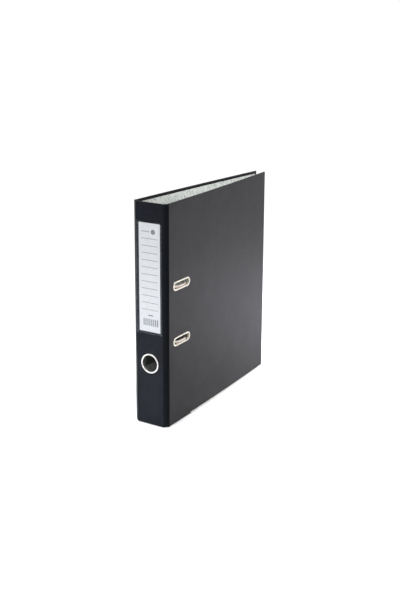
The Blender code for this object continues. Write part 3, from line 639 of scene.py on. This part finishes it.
def finger_ring():
    """Turned ring with a rolled outer bead, a barrel and a rolled inner lip, as radius and depth."""
    profile = [(12.0, 0.2)]
    for i in range(15):
        angle = math.pi * i / 14
        profile.append((13.1 - 1.1 * math.cos(angle), -0.25 - 0.8 * math.sin(angle)))
    profile += [(14.2, -0.02), (12.6, -0.02), (12.6, 3.5), (13.3, 3.45)]
    profile += [(13.4, 3.7), (12.8, 3.95), (12.2, 3.9), (12.0, 3.6)]
    seat = ring_seat()
    loops = []
    for step in range(RING_STEPS):
        angle = 2 * math.pi * step / RING_STEPS
        turned = [(radius * math.cos(angle), radius * math.sin(angle), depth) for radius, depth in profile]
        loops.append(on_seat(seat, turned))
    ring = smooth(closed_sweep("finger_ring_bead", loops), 50.0)
    finish_piece(ring, NICKEL, "spine", ("finger_ring",))


# How far each edge of the pressed eyelet lies outside the slot's inner size, and above the cover
EYELET_PROFILE = (
    (0.0, -3.1), (0.0, 0.30), (0.18, 0.55), (0.5, 0.70), (0.95, 0.75), (1.4, 0.66), (1.78, 0.42),
    (1.98, 0.06), (0.72, 0.06), (0.70, -3.15), (1.35, -3.2), (1.4, -3.4), (0.9, -3.5), (0.25, -3.45),
)


def slot_eyelet(name, half, node):
    """Pressed slot lining: a rounded bead outside, a barrel and a turned lip inside."""
    seat = slot_seat(half)
    length, width = SLOT_INNER
    loops = []
    for offset, rise in EYELET_PROFILE:
        edge = stadium(length + 2 * offset, width + 2 * offset)
        loops.append(on_seat(seat, [(x, y, rise) for x, y in edge]))
    bead = smooth(closed_sweep(name, loops), 50.0)
    finish_piece(bead, EYELET, "front_cover", (node,))


def wire(name, points, radius, stands_for=()):
    """A smooth round wire of the arches along row-frame points, with softly rounded ends."""
    curve = bpy.data.curves.new(name, "CURVE")
    curve.dimensions = "3D"
    curve.bevel_depth = radius * MM
    curve.bevel_resolution = 6
    curve.use_fill_caps = True
    first, last = points[0], points[-1]
    lead = (points[1] - first).normalized() * radius * MM * WIRE_END_LEAD
    tail = (points[-2] - last).normalized() * radius * MM * WIRE_END_LEAD
    path = [first, first + lead] + points[1:-1] + [last + tail, last]
    spline = curve.splines.new("POLY")
    spline.points.add(len(path) - 1)
    for point, at in zip(spline.points, path):
        point.co = (*at, 1.0)
    spline.points[0].radius = spline.points[-1].radius = WIRE_END
    holder = bpy.data.objects.new(name, curve)
    bpy.context.scene.collection.objects.link(holder)
    bpy.context.view_layer.update()
    graph = bpy.context.evaluated_depsgraph_get()
    mesh = bpy.data.meshes.new_from_object(holder.evaluated_get(graph))
    bpy.data.objects.remove(holder, do_unlink=True)
    obj = bpy.data.objects.new(name, mesh)
    bpy.context.scene.collection.objects.link(obj)
    finish_piece(smooth(obj, 50.0), WIRE, "arches", stands_for)


ALONG = Vector(JOINTS["roller_spin"]["axis"]).normalized()
ACROSS = Vector(JOINTS["compressor_slide"]["axis"]).normalized()
SEAT = Vector(JOINTS["arch_swing"]["pos_m"]) - ALONG * SHAFT_U * MM - ACROSS * SHAFT_H * MM


def mech(u, z, h):
    """A point of the mechanism: u from the back fold, z from the shaft's middle, h above the lining."""
    return SEAT + ALONG * (u * MM) + ACROSS * (h * MM) + Vector((0.0, 0.0, z * MM))


def arches():
    """Two bent wires on a shaft, each rising from it, crossing over and coming down on its post."""
    level = ARCH_TOP - ARCH_CORNER
    near = arc((SHAFT_U + ARCH_CORNER, level), ARCH_CORNER, 180, 90, 18)
    far = arc((POST_U - ARCH_CORNER, level), ARCH_CORNER, 90, 0, 18)
    path = [(SHAFT_U, SHAFT_H)] + near + far + [(POST_U, ARCH_TIP)]
    for name, z in (("arch_upper", HOLE_PITCH / 2), ("arch_lower", -HOLE_PITCH / 2)):
        wire(name, [mech(u, z, h) for u, h in path], ARCH_RADIUS)
    shaft = [mech(SHAFT_U, z, SHAFT_H) for z in (-SHAFT_REACH, 0.0, SHAFT_REACH)]
    wire("arch_shaft", shaft, SHAFT_RADIUS, ("arch_wire",))


# ---------------------------------------------------------------- pocket


def pocket_border():
    """A low welded border down both sides and along the foot of the clear pocket; its top is open."""
    outer_half, inner_half = POCKET_HALF, POCKET_HALF - WELD_WIDTH
    outline = [(-outer_half, POCKET_LOW), (outer_half, POCKET_LOW), (outer_half, POCKET_HIGH)]
    outline.append((-outer_half, POCKET_HIGH))
    foot, top = POCKET_LOW + WELD_WIDTH, POCKET_HIGH + SPARE
    opening = [(-inner_half, foot), (inner_half, foot), (inner_half, top), (-inner_half, top)]
    upright = Matrix.Translation(place([(0.0, 0.0, 0.0)])[0]) @ Matrix.Rotation(math.pi / 2, 4, "X")
    border = prism("pocket_border", outline, WELD_BACK, WELD_FRONT, upright)
    cut_by(border, prism("opening", opening, 0.0, 3.0, upright))
    finish_piece(smooth(bevelled(border, 0.05, 1)), WELD, "spine")


# ---------------------------------------------------------------- dressing the CAD nodes


def dress(names, surface, width=0.0, segments=2):
    """A material and, where a width is given, rounded edges by modifiers; the CAD mesh stays as it came."""
    for name in names:
        obj = NODES[name]
        obj.data.materials.clear()
        obj.data.materials.append(surface)
        if width:
            bevelled(obj, width, segments, 40.0)
        smooth(obj, 32.0, 50)


def dress_cad():
    dress(("front_board", "back_board", "spine_board"), BOARD)
    dress(("front_lining", "back_lining", "spine_lining"), CLOUD)
    dress(("front_edge_shoe", "back_edge_shoe"), ZINC, 0.16)
    dress(("finger_ring_washer", "slot_washer_upper", "slot_washer_lower"), NICKEL, 0.1)
    dress(("post_upper", "post_lower", "spring_rivet"), NICKEL, 0.35)
    dress(("catch_rivet_upper", "catch_rivet_lower"), NICKEL, 0.35)
    for level in ("lower", "upper"):
        dress((f"rivet_{level}_fold", f"rivet_{level}_edge"), NICKEL, 0.3)
    dress(("base_plate", "compressor_catch"), STEEL, 0.2)
    dress(("shaft_saddle_upper", "shaft_saddle_lower"), STEEL, 0.25)
    dress(("arch_crank", "lever_arm", "lever_bracket"), STEEL, 0.25)
    dress(("lever_pin", "roller_pin", "leaf_spring", "compressor_plate"), STEEL, 0.12)
    dress(("lever_grip", "lever_roller"), BLACK, 0.25)
    dress(("label_card",), CARD, 0.05, 1)
    dress(("label_pocket",), CLEAR)


# ---------------------------------------------------------------- stage, light, camera


def stage():
    """A wide pale floor."""
    corners = [(-FLOOR_HALF, -FLOOR_HALF, 0), (FLOOR_HALF, -FLOOR_HALF, 0)]
    corners += [(FLOOR_HALF, FLOOR_HALF, 0), (-FLOOR_HALF, FLOOR_HALF, 0)]
    floor = new_object("floor", corners, [(0, 1, 2, 3)])
    n = Nodes("pale_floor")
    tone = n.ramp(n.noise(400.0, 2.0), ((0.3, (0.93, 0.93, 0.93)), (0.7, (0.95, 0.95, 0.95))))
    n.set(Base_Color=tone, Roughness=0.9)
    floor.data.materials.append(n.material)


def area_light(name, position, target, size, power, colour=(1.0, 1.0, 1.0), spread=180.0):
    """A square light aimed at a target, its beam no wider than the spread in degrees."""
    data = bpy.data.lights.new(name, "AREA")
    data.shape = "RECTANGLE"
    data.size, data.size_y = size, size
    data.energy = power
    data.spread = math.radians(spread)
    data.color = colour
    light = bpy.data.objects.new(name, data)
    bpy.context.scene.collection.objects.link(light)
    light.location = position
    light.rotation_euler = (Vector(target) - Vector(position)).to_track_quat("-Z", "Y").to_euler()
    light.visible_camera = False


def lights():
    """An even white world, a soft key, one light from above and two on the floor beside the covers."""
    world = bpy.data.worlds.new("soft_studio")
    bpy.context.scene.world = world
    world.use_nodes = True
    background = world.node_tree.nodes["Background"]
    background.inputs["Color"].default_value = (1.0, 1.0, 1.0, 1.0)
    background.inputs["Strength"].default_value = WORLD_STRENGTH
    area_light("key", (1.0, -0.3, 1.8), (0.0, 0.0, 0.2), 1.2, 9.0)
    area_light("overhead", (0.28, 0.03, 1.25), (0.0, 0.03, 0.32), 0.12, 0.16, spread=20.0)
    area_light("floor_right", (0.23, 0.53, 0.8), (0.17, 0.47, 0.0), 0.4, 2.5, (0.88, 0.89, 1.0), 60.0)
    area_light("floor_left", (-0.14, -0.34, 0.5), (-0.12, -0.29, 0.0), 0.24, 0.7, (0.86, 0.92, 1.0), 50.0)


def camera():
    """The photo's view: from high on the front cover's side, looking down at the spine."""
    ahead = Vector((math.sin(YAW) * math.cos(PITCH), math.cos(YAW) * math.cos(PITCH), -math.sin(PITCH)))
    right = Vector((math.cos(YAW), -math.sin(YAW), 0.0))
    up = right.cross(ahead)
    turned_right = right * math.cos(ROLL) + up * math.sin(ROLL)
    turned_up = up * math.cos(ROLL) - right * math.sin(ROLL)
    data = bpy.data.cameras.new("camera")
    data.sensor_width = SENSOR
    data.lens = LENS
    data.shift_y = SHIFT
    data.clip_start, data.clip_end = 0.05, 300.0
    shot = bpy.data.objects.new("camera", data)
    bpy.context.scene.collection.objects.link(shot)
    turn = Matrix((turned_right, turned_up, -ahead)).transposed().to_4x4()
    shot.matrix_world = Matrix.Translation(place([EYE])[0]) @ turn
    bpy.context.scene.camera = shot


bpy.context.scene.view_settings.view_transform = "Standard"
dress_cad()
cover_skin(FRONT, "front_wrap", "front_covering")
cover_skin(BACK, "back_wrap", "back_covering")
spine_skin()
fold(FRONT, "front_hinge_film")
fold(BACK, "back_hinge_film")
finger_ring()
slot_eyelet("slot_bead_upper", HOLE_PITCH / 2, "slot_eyelet_upper")
slot_eyelet("slot_bead_lower", -HOLE_PITCH / 2, "slot_eyelet_lower")
arches()
pocket_border()
stage()
lights()
camera()
